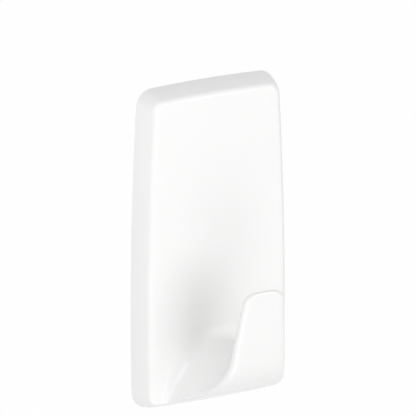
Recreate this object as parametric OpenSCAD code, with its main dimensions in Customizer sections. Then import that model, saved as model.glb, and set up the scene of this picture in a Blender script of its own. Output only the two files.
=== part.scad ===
// Adhesive wall hook: a moulded cover with a hook slides down onto a base plate, which a stretch strip holds
// to the wall. The wall is the plane y = 0 and the room is towards -y. The origin is the middle of the strip's
// bonded wall face.

/* [Cover] */
// Widest outside width of the cover, at its rim
cover_w = 30; // [29:0.5:36]
// Outside height of the cover
cover_h = 58.2; // [57.2:0.2:66.2]
// Depth of the cover from its rim to the flat front
cover_d = 4.4; // [4.2:0.1:6]
// Slope of the side walls away from square to the wall, in degrees
cover_draft = 17.6; // [14:0.2:19]
// Radius of the corners at the rim
corner_r = 3; // [2.6:0.1:5]
// Radius of the rounded edge round the flat front
front_r = 1.1; // [0.6:0.1:1.4]
// Radius of the slight bow of the long sides
side_bow_r = 625; // [500:25:1500]
// Height above the bottom rim at which the cover is widest
widest_z = 16.8; // [12:0.2:30]
// Radius of the slight arch of the top edge
top_bow_r = 312; // [150:6:900]
// Radius of the slight bow of the bottom edge
low_bow_r = 312; // [150:6:900]
// Thickness of the side walls
side_wall = 1.4; // [1:0.1:1.6]
// Thickness of the front wall
front_wall = 1.5; // [1.2:0.1:1.8]
// Air between the cover's rim and the wall
rim_gap = 0.25; // [0.2:0.05:0.5]

/* [Hook] */
// Reach of the tongue's tip in front of the rim
hook_reach = 21.2; // [20:0.2:26]
// Height of the tongue's tip above the bottom rim
hook_rise = 25; // [24:0.2:30]
// Lean of the tongue away from the wall, in degrees
tongue_lean = 9.2; // [5:0.2:12]
// Rise of the hook's underside away from the wall, in degrees
hook_slope = 22.4; // [18:0.2:24]
// Radius of the bend under the hook, on its outside
bend_r = 9.2; // [8:0.2:12]
// Height of the vaulted root where it leaves the front wall
root_t = 11; // [9:0.2:13]
// Half-width of the root where it leaves the front wall
root_half_w = 10.6; // [10:0.2:11.8]
// Thickness of the hook where the bend starts
throat_t = 5.2; // [4.6:0.1:6]
// Half-width of the hook where the bend starts
throat_half_w = 7.3; // [7:0.1:9]
// Thickness of the tongue just above the bend
tongue_t = 2.2; // [2:0.1:3]
// Half-width of the tongue just above the bend
tongue_half_w = 5.2; // [4.5:0.1:6.5]
// Thickness of the tongue below its tip
tip_t = 1.7; // [1.5:0.1:2.6]
// Half-width of the tongue below its tip
tip_half_w = 4; // [3.2:0.1:4.5]
// Length over which the tip closes in a low arch
tip_l = 2.1; // [1.2:0.1:3]
// Radius of the rounding over the tip's edge
tip_edge_r = 0.5; // [0.3:0.05:0.7]
// Radius of the fillet between the root's sides and the front wall
side_fillet = 1.1; // [0.6:0.1:1.4]
// Radius of the fillet between the root's ridge and the front wall
ridge_fillet = 2; // [1.4:0.1:2.6]
// Height over which the outer skin rounds into its edges
skin_crown = 0.6; // [0.3:0.05:0.8]
// Wall left round the hollow in the root
root_wall = 1.6; // [1.2:0.1:1.7]
// Thickness of the web in the middle of that hollow
web_t = 1.2; // [0.8:0.1:2]

/* [Base plate] */
// Height of the base plate
plate_h = 40.6; // [36:0.2:42]
// Margin of the plate's back land beyond the strip on each side
land_margin = 0.25; // [0.1:0.05:0.4]
// Depth of the groove behind the side flanges
groove_d = 0.95; // [0.9:0.05:1.1]
// Radius of the plate's lower corners
plate_r = 2; // [1:0.1:3]
// Cut across the plate's upper corners, which leads the cover on
lead_cut = 2.4; // [1.5:0.1:3]
// Width of the raised border and ribs on the plate's face
plate_rib = 1.6; // [1.2:0.1:2]
// Depth of the sunk fields between the ribs
field_d = 0.8; // [0.4:0.1:1]
// Radius of the fields' corners
field_r = 0.8; // [0.4:0.1:1.5]
// Number of sunk fields up the plate
field_rows = 4; // [2:1:6]

/* [Strip] */
// Width of the stretch strip
strip_w = 20; // [18:0.5:20.5]
// Length of the strip with its tab
strip_l = 50; // [46:0.5:51]
// Thickness of the strip
strip_t = 0.8; // [0.6:0.05:0.9]
// Radius of the strip's upper corners
strip_r = 1; // [0.5:0.1:2]
// Radius of the tab's lower corners
tab_r = 2.5; // [1:0.1:4]
// Thickness of each tab film
film_t = 0.15; // [0.1:0.05:0.2]
// Reach of the films behind the base plate's lower edge
film_under = 0.8; // [0.4:0.1:2]
// Distance of the strip's top below the base plate's top edge
strip_drop = 0.6; // [0.2:0.1:2]

/* [Fit] */
// Clearance between the cover's lips and the base plate
slide_gap = 0.25; // [0.15:0.05:0.3]
// Clearance between the base plate and the cover's inner faces
face_gap = 0.3; // [0.2:0.05:0.4]
// Clearance at the rib on which the cover rests
seat_gap = 0.15; // [0.05:0.05:0.3]
// Thickness of the cover's lips
lip_t = 0.7; // [0.5:0.05:0.8]
// Length of the cover's lips
lip_l = 34; // [24:1:36]
// Height of the seat rib inside the cover's top
seat_h = 1.3; // [1:0.1:1.6]
// Width of the seat rib
seat_w = 16; // [10:0.5:17]

/* [Hidden] */
$fn = 48;

// Length by which cuts pass through a face and joined shapes run into each other
overlap = 0.5;
// Start of the hook's underside inside the cover's bottom wall
root_step = 0.16;

// Steps along each curve of the cover and the hook
corner_steps = 7;
bow_steps = 6;
edge_steps = 4;
section_steps = 20;
fillet_steps = 5;
root_steps = 7;
bend_steps = 11;
tongue_steps = 4;
tip_steps = 7;

// Roundness of the hook's sections: a vault at the root, fuller where it meets the front wall, nearly a rounded
// bar at the tongue, a flat outside with rounded edges
wall_power = [2.5, 1];
root_power = [2.1, 1];
tongue_power = [5, 2];
skin_power = [12, 2];
// Roundness of the arch in which the tip closes
tip_power = 2.5;
// Slopes of the hook's half-width and thickness along its line, at the root, the throat, the tongue and the tip
width_slopes = [-0.4, -0.22, -0.09, -0.1];
height_slopes = [-0.67, -0.58, -0.05, -0.06];
// Last turn of the tip's rounding, short of a point
tip_turn = 84;
// Sideways share of the root's wall, where its flanks are steep
flank_share = 1.25;

// Distances from the wall
front_y = rim_gap + cover_d;
inner_y = front_y - front_wall;
plate_back = strip_t;
flange_back = plate_back + groove_d;
plate_front = inner_y - face_gap;
lip_front = flange_back - slide_gap;
lip_back = lip_front - lip_t;

// Heights above the bottom rim
seat_z = cover_h - inset_at(inner_y) - slant(side_wall) - seat_h;
plate_top = seat_z - seat_gap;
plate_low = plate_top - plate_h;
strip_top = plate_top - strip_drop;
strip_low = strip_top - strip_l;
film_top = plate_low + film_under;
mount_z = (strip_top + film_top) / 2;
lip_top = plate_top - lead_cut;

// Distances from the middle
groove_x = strip_w / 2 + land_margin;
lip_x = groove_x + slide_gap;
plate_half_w = half_width(lip_top) - inset_at(plate_front) - slant(side_wall) - face_gap;

// Corner centres of the outline, and the angles at which the bowed edges touch them
side_c = [cover_w / 2 - side_bow_r, widest_z];
top_c = [0, cover_h - top_bow_r];
low_c = [0, low_bow_r];
low_corner = meet(side_c, side_bow_r - corner_r, low_c, low_bow_r - corner_r, -1);
high_corner = meet(side_c, side_bow_r - corner_r, top_c, top_bow_r - corner_r, 1);
low_a = heading(low_corner - low_c);
side_low_a = heading(low_corner - side_c);
side_high_a = heading(high_corner - side_c);
top_a = heading(high_corner - top_c);

// Centre of the rounded front edge, as inset and distance from the wall
edge_c = [
    inset_at(front_y - front_r * (1 - sin(cover_draft))) + front_r * cos(cover_draft),
    front_y - front_r
];

// The hook's outer line seen from the side: out along the underside, round the bend, up the tongue
tongue_a = 90 - tongue_lean;
line_low = [front_y - front_wall / 2, inset_at(front_y - front_wall / 2) + root_step];
tip = [rim_gap + hook_reach, hook_rise];
knee = line_meet(line_low, hook_slope, tip, tongue_a);
tangent_l = bend_r * tan((tongue_a - hook_slope) / 2);
bend_in = knee - tangent_l * aim(hook_slope);
bend_out = knee + tangent_l * aim(tongue_a);
bend_c = bend_in + bend_r * aim(hook_slope + 90);
tip_low = tip - tip_l * aim(tongue_a);

// Lengths of the line's three stretches
root_l = (bend_in.x - front_y) / cos(hook_slope);
bend_l = bend_r * (tongue_a - hook_slope) * PI / 180;
tongue_l = norm(tip_low - bend_out);

function aim(a) = [cos(a), sin(a)];
function heading(v) = atan2(v.y, v.x);
function mixed(a, b, k) = a + (b - a) * k;

// Value at share k of a stretch of length l from a to b, with the slopes sa and sb at its ends
function eased(a, b, sa, sb, l, k) =
    mixed(a, b, gentle(k)) + l * k * (1 - k) * (sa * (1 - k) - sb * k);

// Share that starts and ends slowly
function gentle(k) = k * k * (3 - 2 * k);

// Inset of the cover's outside at a distance from the wall, and the sideways width of a drafted wall
function inset_at(y) = (y - rim_gap) * tan(cover_draft);
function slant(wall) = wall / cos(cover_draft);

// Half-width of the bowed rim at height z
function half_width(z) = cover_w / 2 - side_bow_r + sqrt(pow(side_bow_r, 2) - pow(z - widest_z, 2));

// Upper or lower meeting point of two circles, for way 1 or -1
function meet(c1, r1, c2, r2, way) =
    let (
        d = norm(c2 - c1),
        u = (c2 - c1) / d,
        along = (d * d + r1 * r1 - r2 * r2) / (2 * d),
        side = sqrt(r1 * r1 - along * along) * [-u.y, u.x]
    )
    c1 + along * u + way * side * sign(side.y);

// Meeting point of two lines, each given by a point and an angle
function line_meet(p, a, q, b) =
    p + aim(a) * ((q.x - p.x) * sin(b) - (q.y - p.y) * cos(b)) / sin(b - a);

function arc(c, r, a0, a1, n) = [for (i = [0:n]) c + r * aim(mixed(a0, a1, i / n))];
function tail(list) = [for (i = [1:len(list) - 1]) list[i]];

// Right half of the cover's outline, from the middle of the bottom to the middle of the top
function half_outline(inset) = concat(
    arc(low_c, low_bow_r - inset, -90, low_a, bow_steps),
    tail(arc(low_corner, corner_r - inset, low_a, side_low_a, corner_steps)),
    tail(arc(side_c, side_bow_r - inset, side_low_a, side_high_a, bow_steps)),
    tail(arc(high_corner, corner_r - inset, side_high_a, top_a, corner_steps)),
    tail(arc(top_c, top_bow_r - inset, top_a, 90, bow_steps))
);

// Whole outline at a distance y from the wall, anticlockwise as seen from the room
function outline(inset, y) =
    let (half = half_outline(inset), n = len(half))
    [for (i = [0:2 * n - 3])
        let (p = half[i < n ? i : 2 * n - 2 - i])
        [i < n ? p.x : -p.x, -y, p.y]];

// Section of the hook as width and height: the vault rises inwards, the outer skin rounds into its edges
function section(half_w, t, power) = [for (i = [0:2 * section_steps - 1])
    let (
        a = 180 * i / section_steps,
        inner = i <= section_steps,
        used = inner ? power : skin_power,
        rise = (inner ? t - skin_crown : -skin_crown) * pow(abs(sin(a)), 2 / used[1])
    )
    [half_w * sign(cos(a)) * pow(abs(cos(a)), 2 / used[0]), skin_crown + rise]];

// Sets a section on a point of the outer line, with its height along the direction of angle a
function placed(flat, point, a) = [for (p = flat)
    let (q = point + p.y * aim(a))
    [p.x, -q.x, q.y]];

// Growth of the root's section at distance d from the front wall, for a fillet of radius r
function flare(r, d) = d >= r ? 0 : r - sqrt(r * r - pow(r - d, 2));

// Height, half-width and place of the root's section at share k of the way from the front wall to the bend
function root_height(k) = eased(root_t, throat_t, height_slopes[0], height_slopes[1], root_l, k);
function root_width(k) = eased(root_half_w, throat_half_w, width_slopes[0], width_slopes[1], root_l, k);
function root_point(k) =
    let (y = mixed(front_y, bend_in.x, k))
    [y, line_low.y + (y - line_low.x) * tan(hook_slope)];
function root_lean(k) = 90 + hook_slope * k;

// Rings of the root, starting inside the front wall
fillet_share = ridge_fillet / (bend_in.x - front_y);
root_shares = concat(
    [for (i = [0:fillet_steps]) fillet_share * (1 - cos(90 * i / fillet_steps))],
    [for (i = [1:root_steps - 1]) mixed(fillet_share, 1, i / root_steps)]
);
buried_ring = placed(
    section(root_width(0) + side_fillet, root_height(0) + ridge_fillet, wall_power),
    line_low, 90
);
root_rings = [for (k = root_shares)
    let (
        d = k * (bend_in.x - front_y),
        grow = flare(ridge_fillet, d)
    )
    placed(
        section(
            root_width(k) + flare(side_fillet, d),
            root_height(k) + grow,
            mixed(root_power, wall_power, grow / ridge_fillet)
        ),
        root_point(k), root_lean(k)
    )];

// Rings round the bend
bend_rings = [for (i = [0:bend_steps])
    let (
        k = i / bend_steps,
        a = mixed(hook_slope, tongue_a, k)
    )
    placed(
        section(
            eased(throat_half_w, tongue_half_w, width_slopes[1], width_slopes[2], bend_l, k),
            eased(throat_t, tongue_t, height_slopes[1], height_slopes[2], bend_l, k),
            mixed(root_power, tongue_power, gentle(k))
        ),
        bend_c + bend_r * aim(a - 90), a + 90
    )];

// Rings up the tongue, to where its tip starts to close
tongue_rings = [for (i = [1:tongue_steps])
    let (k = i / tongue_steps)
    placed(
        section(
            eased(tongue_half_w, tip_half_w, width_slopes[2], width_slopes[3], tongue_l, k),
            eased(tongue_t, tip_t, height_slopes[2], height_slopes[3], tongue_l, k),
            tongue_power
        ),
        mixed(bend_out, tip_low, k), tongue_a + 90
    )];

// Rings over the tip, which closes in an arch and then rounds its edge
tip_rings = [for (i = [1:tip_steps])
    let (
        up = sin(tip_turn * i / tip_steps),
        half_w = (tip_half_w + width_slopes[3] * tip_l * up) * pow(1 - up * up, 1 / tip_power),
        left = tip_l * (1 - up) / tip_edge_r,
        flat = left < 1 ? sqrt(1 - pow(1 - left, 2)) : 1,
        middle = tip_low + tip_l * up * aim(tongue_a) + tip_t / 2 * aim(tongue_a + 90)
    )
    placed(
        [for (p = section(half_w, tip_t, tongue_power)) [p.x, (p.y - tip_t / 2) * flat]],
        middle, tongue_a + 90
    )];

// Rings of the hollow in the root, from inside the cover to the start of the bend
hollow_rings = [for (i = [0:root_steps])
    let (
        k = i / root_steps,
        at = i == 0 ? [inner_y - overlap, root_point(0).y] : root_point(k)
    )
    placed(
        section(root_width(k) - flank_share * root_wall, root_height(k) - 2 * root_wall, root_power),
        at + root_wall * aim(root_lean(k)), root_lean(k)
    )];

// Solid through rings of equal length, each anticlockwise as seen from where the rings lead
module skin(rings) {
    n = len(rings[0]);
    end = n * (len(rings) - 1);
    walls = [for (a = [0:n:end - n], i = [0:n - 1], first = [true, false])
        let (k = (i + 1) % n)
        first ? [a + i, a + n + i, a + n + k] : [a + i, a + n + k, a + k]];
    back = [for (i = [1:n - 2]) [0, i, i + 1]];
    front = [for (i = [1:n - 2]) [end, end + i + 1, end + i]];
    polyhedron([for (ring = rings, p = ring) p], concat(walls, back, front));
}

// Box from corner to corner, each given as x, distance from the wall, and height
module block(low, high) {
    translate([low.x, -high.y, low.z])
        cube([high.x - low.x, high.y - low.y, high.z - low.z]);
}

// Flat shape drawn as x and height, made solid between two distances from the wall
module slab(y0, y1) {
    translate([0, -y0, 0])
        rotate([90, 0, 0])
            linear_extrude(y1 - y0)
                children();
}

module both_sides() {
    children();
    mirror([1, 0, 0]) children();
}

// Upright rectangle with its lower left corner at low, and its own radii at the bottom and the top
module panel(low, high, low_r, high_r) {
    difference() {
        translate(low) square(high - low);
        for (side = [0, 1]) {
            corner_cut([side == 0 ? low.x : high.x, low.y], [side == 0 ? 1 : -1, 1], low_r);
            corner_cut([side == 0 ? low.x : high.x, high.y], [side == 0 ? 1 : -1, -1], high_r);
        }
    }
}

// What a rounded corner takes away, for a corner point and the directions into the shape
module corner_cut(point, into, r) {
    difference() {
        translate([
            into.x > 0 ? point.x - overlap : point.x - r,
            into.y > 0 ? point.y - overlap : point.y - r
        ])
            square(r + overlap);
        translate(point + r * into) circle(r);
    }
}

module cover_body() {
    skin(concat(
        [outline(0, rim_gap)],
        [for (i = [0:edge_steps])
            let (a = mixed(cover_draft, 90, i / edge_steps))
            outline(edge_c.x - front_r * cos(a), edge_c.y + front_r * sin(a))]
    ));
}

module hook() {
    skin(concat([buried_ring], root_rings, bend_rings, tongue_rings, tip_rings));
}

// Hollow behind the front wall, less the lips that hold the base plate and the rib that rests on it
module cavity() {
    difference() {
        skin([for (y = [rim_gap - overlap, inner_y]) outline(inset_at(y) + slant(side_wall), y)]);
        both_sides()
            block([lip_x, lip_back, lip_top - lip_l], [cover_w / 2, lip_front, lip_top]);
        block([-seat_w / 2, flange_back, seat_z], [seat_w / 2, inner_y + overlap, cover_h]);
    }
}

// Hollow in the hook's root, less its middle web
module root_hollow() {
    difference() {
        skin(hollow_rings);
        block([-web_t / 2, 0, 0], [web_t / 2, tip.x, hook_rise]);
    }
}

// Way through the bottom rim for the base plate and the strip
module plate_way() {
    half = plate_half_w + face_gap;
    block([-half, rim_gap - overlap, -overlap], [half, plate_front + slide_gap, corner_r]);
}

module hook_cover() {
    color("white")
        translate([0, 0, -mount_z])
            difference() {
                union() {
                    cover_body();
                    hook();
                }
                cavity();
                root_hollow();
                plate_way();
            }
}

// Front view of the base plate, with cut upper corners
module plate_front_view() {
    difference() {
        panel([-plate_half_w, plate_low], [plate_half_w, plate_top], plate_r, 0);
        both_sides()
            polygon([
                [plate_half_w - lead_cut, plate_top],
                [plate_half_w, plate_top - lead_cut],
                [plate_half_w + overlap, plate_top - lead_cut],
                [plate_half_w + overlap, plate_top + overlap],
                [plate_half_w - lead_cut, plate_top + overlap]
            ]);
    }
}

module plate_fields() {
    pitch_x = groove_x - plate_rib / 2;
    pitch_z = (plate_h - plate_rib) / field_rows;
    for (column = [-1, 0], row = [0:field_rows - 1]) {
        low = [column * pitch_x + plate_rib / 2, plate_low + plate_rib + row * pitch_z];
        panel(low, low + [pitch_x - plate_rib, pitch_z - plate_rib], field_r, field_r);
    }
}

module base_plate() {
    color("whitesmoke")
        translate([0, 0, -mount_z])
            difference() {
                slab(plate_back, plate_front) plate_front_view();
                both_sides()
                    block(
                        [groove_x, plate_back - overlap, plate_low - overlap],
                        [plate_half_w + overlap, flange_back, plate_top + overlap]
                    );
                slab(plate_front - field_d, plate_front + overlap) plate_fields();
            }
}

module strip_front_view() {
    panel([-strip_w / 2, strip_low], [strip_w / 2, strip_top], tab_r, strip_r);
}

module tab_front_view() {
    panel([-strip_w / 2, strip_low], [strip_w / 2, film_top], tab_r, 0);
}

module adhesive_strip() {
    color("gainsboro")
        translate([0, 0, -mount_z])
            difference() {
                slab(0, strip_t) strip_front_view();
                for (film = [[-overlap, film_t], [strip_t - film_t, strip_t + overlap]])
                    block(
                        [-strip_w, film[0], strip_low - overlap],
                        [strip_w, film[1], film_top]
                    );
            }
}

module tab_film_front() {
    color("lightsteelblue")
        translate([0, 0, -mount_z])
            slab(strip_t - film_t, strip_t) tab_front_view();
}

module tab_film_back() {
    color("lightsteelblue")
        translate([0, 0, -mount_z])
            slab(0, film_t) tab_front_view();
}

hook_cover();
base_plate();
adhesive_strip();
tab_film_front();
tab_film_back();
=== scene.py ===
import math
import bmesh
import bpy
from mathutils import Matrix, Vector


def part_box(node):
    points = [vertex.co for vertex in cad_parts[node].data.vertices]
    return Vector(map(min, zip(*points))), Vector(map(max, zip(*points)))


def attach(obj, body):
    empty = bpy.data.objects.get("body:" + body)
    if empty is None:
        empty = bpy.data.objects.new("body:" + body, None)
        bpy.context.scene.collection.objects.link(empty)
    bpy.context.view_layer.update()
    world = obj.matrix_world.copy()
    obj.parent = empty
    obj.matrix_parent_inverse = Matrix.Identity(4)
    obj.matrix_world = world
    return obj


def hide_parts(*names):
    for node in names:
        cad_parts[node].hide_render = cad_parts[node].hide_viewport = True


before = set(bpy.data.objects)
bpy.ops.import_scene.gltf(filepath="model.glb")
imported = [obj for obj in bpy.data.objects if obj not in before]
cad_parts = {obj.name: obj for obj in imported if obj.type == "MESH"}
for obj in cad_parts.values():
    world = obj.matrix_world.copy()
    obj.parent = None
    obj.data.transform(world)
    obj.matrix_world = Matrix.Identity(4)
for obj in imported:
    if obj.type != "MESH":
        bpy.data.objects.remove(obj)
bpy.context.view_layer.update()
scene = bpy.context.scene
scene.view_settings.view_transform = "Standard"
mm = 0.001
print("frame loaded with", ", ".join(sorted(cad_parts)))

# camera at the photo's angle, aimed at the middle of the cover's rim, sizes in mm
viewFrom = {"turn": 30.0, "rise": 17.37, "distance": 1500.0, "lens": 747.8, "sensor": 36.0,
            "aim": (0.0, -0.25, -5.02), "right": 0.486, "up": 5.26, "near": 10, "far": 20000}


def addCamera(s):
    turn, rise = math.radians(s["turn"]), math.radians(s["rise"])
    right = Vector((math.cos(turn), -math.sin(turn), 0))
    back = Vector((-math.sin(turn) * math.cos(rise), -math.cos(turn) * math.cos(rise), math.sin(rise)))
    up = back.cross(right)
    eye = bpy.data.cameras.new("camera")
    eye.lens, eye.sensor_width = s["lens"], s["sensor"]
    eye.clip_start, eye.clip_end = s["near"] * mm, s["far"] * mm
    camera = bpy.data.objects.new("camera", eye)
    place = Vector(s["aim"]) + right * s["right"] + up * s["up"] + back * s["distance"]
    camera.matrix_world = Matrix.Translation(place * mm) @ Matrix((right, up, back)).transposed().to_4x4()
    scene.collection.objects.link(camera)
    scene.camera = camera


addCamera(viewFrom)
print("camera set")


# shader sockets that add and multiply in plain expressions
class Wire:
    def __init__(self, tree, socket=None):
        self.tree, self.socket = tree, socket

    def make(self, kind, settings=None, links=None, out=0):
        node = self.tree.nodes.new(kind)
        for name, value in (settings or {}).items():
            setattr(node, name, value)
        for name, value in (links or {}).items():
            if isinstance(value, Wire):
                self.tree.links.new(value.socket, node.inputs[name])
            else:
                node.inputs[name].default_value = value
        return Wire(self.tree, node.outputs[out]) if node.outputs else node

    def maths(self, operation, left, right):
        return self.make("ShaderNodeMath", {"operation": operation}, {0: left, 1: right})

    def __add__(self, other):
        return self.maths("ADD", self, other)

    def __radd__(self, other):
        return self.maths("ADD", other, self)

    def __sub__(self, other):
        return self.maths("SUBTRACT", self, other)

    def __rsub__(self, other):
        return self.maths("SUBTRACT", other, self)

    def __mul__(self, other):
        return self.maths("MULTIPLY", self, other)

    def __rmul__(self, other):
        return self.maths("MULTIPLY", other, self)


def freshMaterial(name):
    material = bpy.data.materials.new(name)
    material.use_nodes = True
    material.node_tree.nodes.clear()
    return material, Wire(material.node_tree)


def objectPlace(wire):
    return wire.make("ShaderNodeTexCoord", out="Object")


# noise of a size given per mm, with its detail
def grain(wire, place, size):
    perMm, detail = size
    return wire.make("ShaderNodeTexNoise", {}, {"Vector": place, "Scale": perMm / mm, "Detail": detail}, "Fac")


def blend(share, first, second):
    return share * first + (1 - share) * second


# the patterns lie about this value
patternMiddle = 0.5


# plastic whose colour, roughness and relief follow the patterns it is given
def addSurface(wire, s, tint, gloss, height, more=None):
    tones = {0: tint, 6: (*s["low"], 1), 7: (*s["high"], 1)}
    relief = {"Height": height, "Strength": s["bump"], "Distance": s["depth"] * mm}
    shader = wire.make("ShaderNodeBsdfPrincipled", {}, {
        "Base Color": wire.make("ShaderNodeMix", {"data_type": "RGBA"}, tones, 2),
        "Roughness": s["rough"] + s["roughSpan"] * (gloss - patternMiddle),
        "Normal": wire.make("ShaderNodeBump", {}, relief), **(more or {})})
    wire.make("ShaderNodeOutputMaterial", {}, {"Surface": shader})


# soft-gloss white moulding: faint clouding in the colour, a polished skin with a trace of texture
coverFinish = {"low": (0.875, 0.875, 0.87), "high": (0.905, 0.905, 0.9), "rough": 0.3, "roughSpan": 0.1,
               "cloud": (0.12, 3.0), "peel": (1.6, 1.0), "skin": (9.0, 2.0), "cloudShare": 0.6, "peelShare": 0.7,
               "bump": 0.05, "depth": 0.05, "coat": {"Coat Weight": 0.25, "Coat Roughness": 0.25, "IOR": 1.5}}


def coverPlastic(s):
    material, wire = freshMaterial("cover_plastic")
    place = objectPlace(wire)
    cloud, peel, skin = (grain(wire, place, s[name]) for name in ("cloud", "peel", "skin"))
    addSurface(wire, s, cloud, blend(s["cloudShare"], cloud, skin), blend(s["peelShare"], peel, skin), s["coat"])
    return material


# satin white moulding with an eroded-tool texture
plateFinish = {"low": (0.82, 0.82, 0.81), "high": (0.87, 0.87, 0.86), "rough": 0.52, "roughSpan": 0.14,
               "cloud": (0.15, 3.0), "erosion": (7.0, 4.0), "bump": 0.18, "depth": 0.06}


def platePlastic(s):
    material, wire = freshMaterial("plate_plastic")
    place = objectPlace(wire)
    erosion = grain(wire, place, s["erosion"])
    addSurface(wire, s, grain(wire, place, s["cloud"]), erosion, erosion)
    return material


# pale stretch foam: small closed cells under a tacky skin
foamFinish = {"low": (0.74, 0.75, 0.72), "high": (0.84, 0.85, 0.83), "rough": 0.46, "roughSpan": 0.16,
              "cloud": (0.3, 3.0), "cells": 5.0, "cloudShare": 0.5, "bump": 0.3, "depth": 0.04}


def stripFoam(s):
    material, wire = freshMaterial("strip_foam")
    place = objectPlace(wire)
    cells = {"Vector": place, "Scale": s["cells"] / mm}
    cell = wire.make("ShaderNodeTexVoronoi", {"feature": "SMOOTH_F1"}, cells, "Distance")
    cloud = grain(wire, place, s["cloud"])
    addSurface(wire, s, blend(s["cloudShare"], cloud, cell), cloud, cell)
    return material


# thin non-stick film: satin, with a fine woven emboss
filmFinish = {"low": (0.8, 0.82, 0.84), "high": (0.87, 0.885, 0.9), "rough": 0.36, "roughSpan": 0.12,
              "cloud": (0.25, 3.0), "rib": 1.6, "cloudShare": 0.7, "bump": 0.12, "depth": 0.03}


def tabFilm(s):
    material, wire = freshMaterial("tab_film")
    place = objectPlace(wire)
    ribs = {"Vector": place, "Scale": s["rib"] / mm}
    across = wire.make("ShaderNodeTexWave", {"bands_direction": "X"}, ribs, "Fac")
    along = wire.make("ShaderNodeTexWave", {"bands_direction": "Z"}, ribs, "Fac")
    cloud = grain(wire, place, s["cloud"])
    weave = across * along
    addSurface(wire, s, blend(s["cloudShare"], cloud, weave), cloud, weave)
    return material


finishes = {"cover_plastic": coverPlastic(coverFinish), "plate_plastic": platePlastic(plateFinish),
            "strip_foam": stripFoam(foamFinish), "tab_film": tabFilm(filmFinish)}
print("materials made:", ", ".join(finishes))


def roughPiece(name, bm):
    mesh = bpy.data.meshes.new(name)
    bm.to_mesh(mesh)
    bm.free()
    piece = bpy.data.objects.new(name, mesh)
    scene.collection.objects.link(piece)
    return piece


# joins a tool to a piece or cuts it out, and removes the tool
def combine(base, tool, operation):
    step = base.modifiers.new("combine", "BOOLEAN")
    step.object, step.operation, step.solver = tool, operation, "EXACT"
    result = base.evaluated_get(bpy.context.evaluated_depsgraph_get())
    mesh = bpy.data.meshes.new_from_object(result)
    base.modifiers.clear()
    base.data = mesh
    bpy.data.objects.remove(tool)


def closeEnds(bm):
    bmesh.ops.holes_fill(bm, edges=[e for e in bm.edges if e.is_boundary], sides=0)
    bmesh.ops.recalc_face_normals(bm, faces=bm.faces)


# bevel by an even offset, of edges or of corners
def roundOff(bm, geom, radius, steps, affect="EDGES"):
    bmesh.ops.bevel(bm, geom=geom, offset=radius, offset_type="OFFSET", segments=steps, profile=0.5, affect=affect,
                    material=-1)


# the cover's plate, sizes in mm and degrees, heights from its bottom rim
coverShape = {"width": 30.0, "height": 58.2, "depth": 4.4, "draft": 17.6, "draftLow": 11.0, "draftHigh": 24.0,
              "cornerRadius": 3.0, "edgeRadius": 1.1, "rimEdge": 0.15, "sideBow": 625.0, "widestAt": 16.8,
              "topBow": 312.0, "lowBow": 312.0, "sideWall": 1.4, "frontWall": 1.5, "rimGap": 0.25, "floorRadius": 0.2,
              "through": 0.5, "longEdge": 5.0, "sharp": 32,
              "cornerSteps": 16, "sideCuts": 30, "wallSteps": 8, "edgeSteps": 12, "rimSteps": 3, "floorSteps": 5}
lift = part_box("hook_cover")[1].z / mm - coverShape["height"]
slope = math.tan(math.radians(coverShape["draft"]))
frontY = coverShape["rimGap"] + coverShape["depth"]
innerY = frontY - coverShape["frontWall"]


def insetAt(y):
    return (y - coverShape["rimGap"]) * slope


# rounded face in the outline of the rim, its sides slightly bowed
def outlineFace(bm, s):
    half, high = s["width"] / 2, s["height"]
    corners = [bm.verts.new((x, 0, z)) for x, z in ((-half, 0), (half, 0), (half, high), (-half, high))]
    bm.faces.new(corners)
    roundOff(bm, corners, s["cornerRadius"], s["cornerSteps"], "VERTICES")
    bmesh.ops.subdivide_edges(bm, edges=[e for e in bm.edges if e.calc_length() > s["longEdge"]], cuts=s["sideCuts"])
    for vert in bm.verts:
        x, z = vert.co.x, vert.co.z
        bowed = half - (z - s["widestAt"]) ** 2 / (2 * s["sideBow"])
        vert.co.x = x * bowed / half
        vert.co.z = z + x * x / 2 * ((1 - z / high) / s["lowBow"] - z / high / s["topBow"])
    bm.faces.ensure_lookup_table()
    return bm.faces[0]


def insetFace(bm, face, inset, depth):
    return bmesh.ops.inset_region(bm, faces=[face], thickness=inset, depth=depth, use_boundary=True,
                                  use_even_offset=True)["faces"]


# solid that starts from the outline and goes through steps of inset and distance from the wall
def insetStack(name, s, steps, rimEdge=0.0):
    bm = bmesh.new()
    face = outlineFace(bm, s)
    inset, y = steps[0]
    if inset:
        bmesh.ops.delete(bm, geom=insetFace(bm, face, inset, 0), context="FACES")
    bmesh.ops.translate(bm, verts=bm.verts, vec=(0, -y, 0))
    for nextInset, nextY in steps[1:]:
        insetFace(bm, face, nextInset - inset, nextY - y)
        inset, y = nextInset, nextY
    rim = [e for e in bm.edges if e.is_boundary]
    closeEnds(bm)
    if rimEdge:
        roundOff(bm, rim, rimEdge, s["rimSteps"])
    return roughPiece(name, bm)


# arc of steps from one slope of the wall to another, going on from the place it is given
def arcSteps(inset, y, radius, slopeFrom, slopeTo, count):
    made = []
    for n in range(1, count + 1):
        a = math.radians(slopeFrom + (slopeTo - slopeFrom) * n / count)
        made.append((inset + radius * (math.cos(math.radians(slopeFrom)) - math.cos(a)),
                     y + radius * (math.sin(a) - math.sin(math.radians(slopeFrom)))))
    return made


# slightly crowned walls, then the rounded edge of the front
def coverPlate(s):
    low, high, r = math.sin(math.radians(s["draftLow"])), math.sin(math.radians(s["draftHigh"])), s["edgeRadius"]
    sweep = (s["depth"] - r * (1 - high)) / (high - low)
    steps = [(0, s["rimGap"])]
    steps += arcSteps(*steps[-1], sweep, s["draftLow"], s["draftHigh"], s["wallSteps"])
    steps += arcSteps(*steps[-1], r, s["draftHigh"], 90, s["edgeSteps"])
    return insetStack("cover_moulding", s, steps, s["rimEdge"])


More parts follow.
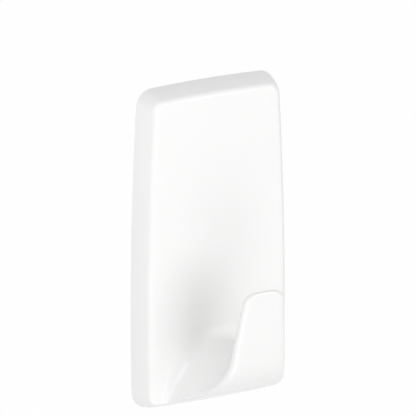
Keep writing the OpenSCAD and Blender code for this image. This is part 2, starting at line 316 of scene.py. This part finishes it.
# the space behind the plate, with a small radius round its floor that its tight corners allow
def coverHollow(s):
    wall = s["sideWall"] / math.cos(math.radians(s["draft"]))
    start, r = s["rimGap"] - s["through"], s["floorRadius"]
    low = innerY - r * (1 - math.sin(math.radians(s["draft"])))
    steps = [(insetAt(start) + wall, start), (insetAt(low) + wall, low)]
    return insetStack("hollow", s, steps + arcSteps(*steps[-1], r, s["draft"], 90, s["floorSteps"]))


# the hook: an outer line seen from the side, with sections set along it
hookShape = {"reach": 21.0, "rise": 25.1, "lean": 9.2, "slope": 22.4, "bendRadius": 9.2, "start": 0.32,
             "rootHeight": 11.0, "rootHalf": 10.6, "throatHeight": 5.2, "throatHalf": 7.3,
             "tongueHeight": 2.2, "tongueHalf": 5.25, "tipHeight": 1.7, "tipHalf": 4.0,
             "tipLength": 2.1, "tipEdge": 1.3, "tipApex": 0.15, "tipTurn": 88, "tipPower": 3.2,
             "sideFillet": 1.1, "ridgeFillet": 2.0, "crown": 0.75, "rootCrown": 0.15,
             "flankFillet": 5.0, "flankShare": 0.3, "flankAt": 0.65, "flankSpan": 0.2, "flankOut": 0.7,
             "wallPower": (3.4, 1.2), "rootPower": (2.1, 1.0), "tonguePower": (5.5, 2.0), "skinPower": (12.0, 2.0),
             "widthSlopes": (-0.4, -0.22, -0.09, -0.1), "heightSlopes": (-0.67, -0.58, -0.05, -0.06),
             "wall": 1.6, "flank": 1.25, "web": 1.2, "points": 112,
             "filletSteps": 16, "rootSteps": 14, "bendSteps": 30, "tongueSteps": 14, "tipSteps": 16}


def aim(degrees):
    return Vector((math.cos(math.radians(degrees)), math.sin(math.radians(degrees))))


def smooth(k):
    return k * k * (3 - 2 * k)


# cubic from a to b with a slope given at each end
def eased(a, b, slopeA, slopeB, length, k):
    return (a * (2 * k ** 3 - 3 * k ** 2 + 1) + slopeA * length * (k ** 3 - 2 * k ** 2 + k)
            + b * (3 * k ** 2 - 2 * k ** 3) + slopeB * length * (k ** 3 - k ** 2))


def mixed(a, b, k):
    return tuple(p + (q - p) * k for p, q in zip(a, b))


# side view of the outer line: its start, bend and tip
def hookLine(s):
    wallMiddle = frontY - coverShape["frontWall"] / 2
    up = 90 - s["lean"]
    low = Vector((wallMiddle, insetAt(wallMiddle) + s["start"]))
    tip = Vector((coverShape["rimGap"] + s["reach"], s["rise"]))
    gap, turn = tip - low, math.radians(up - s["slope"])
    along = (gap.x * aim(up).y - gap.y * aim(up).x) / math.sin(turn)
    knee = low + aim(s["slope"]) * along
    tangent = s["bendRadius"] * math.tan(turn / 2)
    bendIn, bendOut = knee - aim(s["slope"]) * tangent, knee + aim(up) * tangent
    tipLow = tip - aim(up) * s["tipLength"]
    return {"low": low, "up": up, "bendIn": bendIn, "bendOut": bendOut, "tipLow": tipLow,
            "centre": bendIn + aim(s["slope"] + 90) * s["bendRadius"],
            "rootLength": (bendIn.x - frontY) / math.cos(math.radians(s["slope"])),
            "bendLength": s["bendRadius"] * turn, "tongueLength": (tipLow - bendOut).length}


def section(half, height, power, crown, point, angle, squash=1.0, swell=0.0):
    return {"half": half, "height": height, "power": power, "crown": crown, "point": point, "angle": angle,
            "squash": squash, "swell": swell}


# places along the line that have a width, a height and slopes of their own
linePlaces = ("root", "throat", "tongue", "tip")


# half width and height at a share k of the way from one of those places to the next
def sizesOn(s, n, length, k):
    here, there = linePlaces[n], linePlaces[n + 1]
    widths, heights = s["widthSlopes"], s["heightSlopes"]
    return (eased(s[here + "Half"], s[there + "Half"], widths[n], widths[n + 1], length, k),
            eased(s[here + "Height"], s[there + "Height"], heights[n], heights[n + 1], length, k))


# growth of the root at a distance in front of the cover, for a fillet of radius r
def flare(r, d):
    return r - math.sqrt(r * r - (r - d) ** 2) if d < r else 0.0


def rootSection(s, line, k, filleted=False):
    d = (line["bendIn"].x - frontY) * k
    point = Vector((frontY + d, line["low"].y + (frontY + d - line["low"].x) * math.tan(math.radians(s["slope"]))))
    half, height = sizesOn(s, 0, line["rootLength"], k)
    power, swell = s["rootPower"], 0.0
    if filleted:
        swell = s["flankShare"] * flare(s["flankFillet"], d)
        half, height = half + flare(s["sideFillet"], d), height + flare(s["ridgeFillet"], d)
        power = mixed(power, s["wallPower"], flare(s["ridgeFillet"], d) / s["ridgeFillet"])
    crown = s["rootCrown"] + (s["crown"] - s["rootCrown"]) * smooth(k)
    return section(half, height, power, crown, point, 90 + s["slope"] * k, swell=swell)


# sections from inside the cover's front wall, through fillet, root, bend and tongue, to the tip
def hookSections(s, line):
    share = s["ridgeFillet"] / (line["bendIn"].x - frontY)
    made = [section(s["rootHalf"] + s["sideFillet"], s["rootHeight"] + s["ridgeFillet"], s["wallPower"], s["rootCrown"],
                    line["low"], 90, swell=s["flankShare"] * s["flankFillet"])]
    for n in range(s["filletSteps"]):
        made.append(rootSection(s, line, share * (1 - math.cos(math.pi / 2 * n / s["filletSteps"])), True))
    for n in range(s["rootSteps"]):
        made.append(rootSection(s, line, share + (1 - share) * n / s["rootSteps"], True))
    for n in range(s["bendSteps"]):
        k = n / s["bendSteps"]
        a = s["slope"] + (line["up"] - s["slope"]) * k
        made.append(section(*sizesOn(s, 1, line["bendLength"], k), mixed(s["rootPower"], s["tonguePower"], smooth(k)),
                            s["crown"], line["centre"] + aim(a - 90) * s["bendRadius"], a + 90))
    for n in range(s["tongueSteps"]):
        k = n / s["tongueSteps"]
        made.append(section(*sizesOn(s, 2, line["tongueLength"], k), s["tonguePower"], s["crown"],
                            line["bendOut"].lerp(line["tipLow"], k), line["up"] + 90))
    for n in range(s["tipSteps"] + 1):
        up = math.sin(math.radians(s["tipTurn"]) * n / s["tipSteps"])
        left = s["tipLength"] * (1 - up) / s["tipEdge"]
        squash = math.sqrt(1 - (1 - left) ** 2) if left < 1 else 1.0
        half = (s["tipHalf"] + s["widthSlopes"][3] * s["tipLength"] * up) * (1 - up * up) ** (1 / s["tipPower"])
        made.append(section(half, s["tipHeight"], s["tonguePower"], s["crown"],
                            line["tipLow"] + aim(line["up"]) * s["tipLength"] * up, line["up"] + 90, squash))
    return made


# place on a section at an angle round it: the vault above the edges, the outer skin below
def onSection(s, ring, a):
    c, d = math.cos(a), math.sin(a)
    power = ring["power"] if d >= 0 else s["skinPower"]
    crown, apex = ring["crown"], ring["height"] * s["tipApex"]
    rise = (ring["height"] - crown if d >= 0 else -crown) * abs(d) ** (2 / power[1])
    swell = ring["swell"] * math.exp(-((d * d - s["flankAt"]) / s["flankSpan"]) ** 2) if d > 0 else 0.0
    out = s["flankOut"] * swell
    side = ring["point"] + aim(ring["angle"]) * (apex + (crown + rise - apex) * ring["squash"] + out)
    x = ring["half"] * abs(c) ** (2 / power[0]) + out * min(1, 2 * abs(c))
    return Vector((math.copysign(x, c), -side.x, side.y))


# one circle drawn along the sections by extruding it from each to the next
def loft(name, s, rings):
    bm = bmesh.new()
    turn = bm.verts.layers.float.new("turn")
    loop = bmesh.ops.create_circle(bm, segments=s["points"], radius=1)["verts"]
    edges = bm.edges[:]
    for vert in loop:
        vert[turn] = math.atan2(vert.co.y, vert.co.x)
    for n, ring in enumerate(rings):
        if n:
            made = bmesh.ops.extrude_edge_only(bm, edges=edges)["geom"]
            loop = {g for g in made if isinstance(g, bmesh.types.BMVert)}
            edges = [g for g in made if isinstance(g, bmesh.types.BMEdge) and set(g.verts) <= loop]
        for vert in loop:
            vert.co = onSection(s, ring, vert[turn])
    closeEnds(bm)
    bm.verts.layers.float.remove(turn)
    return roughPiece(name, bm)


def rootHollow(s, line):
    rings = []
    for n in range(s["rootSteps"] + 1):
        ring = rootSection(s, line, n / s["rootSteps"])
        ring["half"] -= s["flank"] * s["wall"]
        ring["height"] -= 2 * s["wall"]
        ring["point"] = ring["point"] + aim(ring["angle"]) * s["wall"]
        if n == 0:
            ring["point"].x = innerY - coverShape["through"]
        rings.append(ring)
    return loft("root_hollow", s, rings)


# block between two corners given as x, distance from the wall and height, its edges rounded
def roundedBlock(name, low, high, radius, steps=3):
    bm = bmesh.new()
    bmesh.ops.create_cube(bm, size=1)
    bmesh.ops.scale(bm, verts=bm.verts, vec=[b - a for a, b in zip(low, high)])
    x, y, z = ((a + b) / 2 for a, b in zip(low, high))
    bmesh.ops.translate(bm, verts=bm.verts, vec=(x, -y, z))
    if radius:
        roundOff(bm, bm.edges[:], radius, steps)
    return roughPiece(name, bm)


# what holds the base plate inside the cover: two lips, a seat rib, and the way in through the bottom rim
fitShape = {"stripThick": 0.8, "groove": 0.95, "slideGap": 0.25, "faceGap": 0.3, "lipThick": 0.7, "lipLength": 34.0,
            "lipX": 10.5, "leadCut": 2.4, "seatGap": 0.15, "seatWidth": 16.0, "edge": 0.18, "into": 1.0}


def buildCover(c, h, f):
    line = hookLine(h)
    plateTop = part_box("base_plate")[1].z / mm - lift
    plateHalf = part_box("base_plate")[1].x / mm
    flangeBack = f["stripThick"] + f["groove"]
    lipFront = flangeBack - f["slideGap"]
    lipTop = plateTop - f["leadCut"]
    hollow = coverHollow(c)
    for side in (-1, 1):
        x = sorted((side * f["lipX"], side * c["width"] / 2))
        lip = roundedBlock("lip", (x[0], lipFront - f["lipThick"], lipTop - f["lipLength"]), (x[1], lipFront, lipTop),
                           f["edge"])
        combine(hollow, lip, "DIFFERENCE")
    half = f["seatWidth"] / 2
    seat = roundedBlock("seat", (-half, flangeBack, plateTop + f["seatGap"]),
                        (half, innerY + f["into"], c["height"]), f["edge"])
    combine(hollow, seat, "DIFFERENCE")
    inside = rootHollow(h, line)
    half = h["web"] / 2
    web = roundedBlock("web", (-half, innerY - f["into"], 0), (half, h["reach"] + f["into"], h["rise"]), 0)
    combine(inside, web, "DIFFERENCE")
    half = plateHalf + f["faceGap"]
    way = roundedBlock("way", (-half, c["rimGap"] - c["through"], -c["through"]),
                       (half, innerY - f["faceGap"] + f["slideGap"], c["cornerRadius"]), 0)
    cover = coverPlate(c)
    combine(cover, loft("hook", h, hookSections(h, line)), "UNION")
    for tool in (hollow, inside, way):
        combine(cover, tool, "DIFFERENCE")
    return cover


# puts a piece in metres into the frame, with smooth faces that keep their true corners
def finishPiece(piece, body, node, slot, sharp):
    mesh = piece.data
    mesh.materials.clear()
    mesh.materials.append(finishes[slot])
    mesh.polygons.foreach_set("material_index", [0] * len(mesh.polygons))
    mesh.shade_smooth()
    mesh.set_sharp_from_angle(angle=math.radians(sharp))
    even = piece.modifiers.new("even normals", "WEIGHTED_NORMAL")
    even.keep_sharp = True
    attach(piece, body)
    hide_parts(node)
    print(piece.name, "made with", len(mesh.polygons), "faces")


def addCover():
    piece = buildCover(coverShape, hookShape, fitShape)
    piece.data.transform(Matrix.Scale(mm, 4) @ Matrix.Translation((0, 0, lift)))
    finishPiece(piece, "cover", "hook_cover", "cover_plastic", coverShape["sharp"])


# flat pieces keep the frame's own solids, with their edges broken
flatPieces = {
    "base_moulding": {"node": "base_plate", "slot": "plate_plastic", "edge": 0.14, "steps": 3},
    "stretch_strip": {"node": "adhesive_strip", "slot": "strip_foam", "edge": 0.05, "steps": 2},
    "film_front": {"node": "tab_film_front", "slot": "tab_film", "edge": 0.03, "steps": 2},
    "film_back": {"node": "tab_film_back", "slot": "tab_film", "edge": 0.03, "steps": 2},
}
flatRule = {"merge": 0.0005, "level": 0.4, "corner": 35, "sharp": 40}


def addFlat(name, s, rule):
    bm = bmesh.new()
    bm.from_mesh(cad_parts[s["node"]].data)
    bmesh.ops.scale(bm, verts=bm.verts, vec=(1 / mm, 1 / mm, 1 / mm))
    bmesh.ops.remove_doubles(bm, verts=bm.verts, dist=rule["merge"])
    bmesh.ops.recalc_face_normals(bm, faces=bm.faces)
    bmesh.ops.dissolve_limit(bm, angle_limit=math.radians(rule["level"]), verts=bm.verts, edges=bm.edges)
    corners = [e for e in bm.edges if len(e.link_faces) == 2 and e.calc_face_angle() > math.radians(rule["corner"])]
    roundOff(bm, corners, s["edge"], s["steps"])
    bmesh.ops.scale(bm, verts=bm.verts, vec=(mm, mm, mm))
    finishPiece(roughPiece(name, bm), "base", s["node"], s["slot"], rule["sharp"])


addCover()
for name, settings in flatPieces.items():
    addFlat(name, settings, flatRule)

# lamps stand round the object, in metres: turn is to the right of its front, rise above the level
lampSet = {
    "key": {"turn": 15, "rise": 0, "away": 0.6, "size": 0.4, "watts": 0.78},
    "rightFill": {"turn": 35, "rise": 20, "away": 0.6, "size": 0.4, "watts": 0.21},
    "highLeft": {"turn": -35, "rise": 60, "away": 0.3, "size": 0.2, "watts": 0.046},
    "left": {"turn": -50, "rise": 20, "away": 0.6, "size": 0.4, "watts": 0.91},
    "edgeLeft": {"turn": -60, "rise": -5, "away": 0.7, "size": 0.7, "watts": 0.31},
    "farLeft": {"turn": -110, "rise": 0, "away": 0.6, "size": 0.4, "watts": 0.29},
    "lowFront": {"turn": -5, "rise": -45, "away": 0.6, "size": 0.4, "watts": 0.56},
    "behind": {"turn": -165, "rise": -5, "away": 0.6, "size": 0.5, "watts": 1.04},
}


def addLamp(name, s):
    lamp = bpy.data.lights.new(name, "AREA")
    lamp.shape, lamp.size, lamp.energy = "DISK", s["size"], s["watts"]
    turn, rise = math.radians(s["turn"]), math.radians(s["rise"])
    out = Vector((math.sin(turn) * math.cos(rise), -math.cos(turn) * math.cos(rise), math.sin(rise)))
    stand = bpy.data.objects.new(name, lamp)
    stand.matrix_world = Matrix.Translation(out * s["away"]) @ out.to_track_quat("Z", "Y").to_matrix().to_4x4()
    scene.collection.objects.link(stand)


# room that looks white and lights softly, with a pale floor below the lamps that is clear from underneath
roomTone = {"light": 0.54, "white": (1, 1, 1, 1), "floorAt": -0.6, "floorHalf": 3.0, "floorGlow": 0.985,
            "floorTone": (0.9, 0.9, 0.9, 1)}


def seenDirectly(wire):
    seen, mirrored, through = (wire.make("ShaderNodeLightPath", out="Is %s Ray" % kind)
                               for kind in ("Camera", "Glossy", "Transmission"))
    return wire.maths("MAXIMUM", wire.maths("MAXIMUM", seen, mirrored), through)


def addWorld(s):
    world = bpy.data.worlds.new("room")
    scene.world = world
    world.use_nodes = True
    world.node_tree.nodes.clear()
    wire = Wire(world.node_tree)
    soft = wire.make("ShaderNodeBackground", {}, {"Color": s["white"], "Strength": s["light"]})
    white = wire.make("ShaderNodeBackground", {}, {"Color": s["white"], "Strength": 1.0})
    seen = wire.make("ShaderNodeMixShader", {}, {0: seenDirectly(wire), 1: soft, 2: white})
    wire.make("ShaderNodeOutputWorld", {}, {"Surface": seen})


def addFloor(s):
    bm = bmesh.new()
    bmesh.ops.create_grid(bm, x_segments=1, y_segments=1, size=s["floorHalf"])
    bmesh.ops.translate(bm, verts=bm.verts, vec=(0, 0, s["floorAt"]))
    floor = roughPiece("floor", bm)
    material, wire = freshMaterial("pale_floor")
    matt = wire.make("ShaderNodeBsdfDiffuse", {}, {"Color": s["floorTone"]})
    glow = wire.make("ShaderNodeEmission", {}, {"Color": s["white"], "Strength": 1.0})
    top = wire.make("ShaderNodeMixShader", {}, {0: s["floorGlow"] * seenDirectly(wire), 1: matt, 2: glow})
    clear = wire.make("ShaderNodeBsdfTransparent")
    under = wire.make("ShaderNodeNewGeometry", out="Backfacing")
    both = wire.make("ShaderNodeMixShader", {}, {0: under, 1: top, 2: clear})
    wire.make("ShaderNodeOutputMaterial", {}, {"Surface": both})
    floor.data.materials.append(material)


for name, settings in lampSet.items():
    addLamp(name, settings)
addWorld(roomTone)
addFloor(roomTone)
print("lamps and floor set")
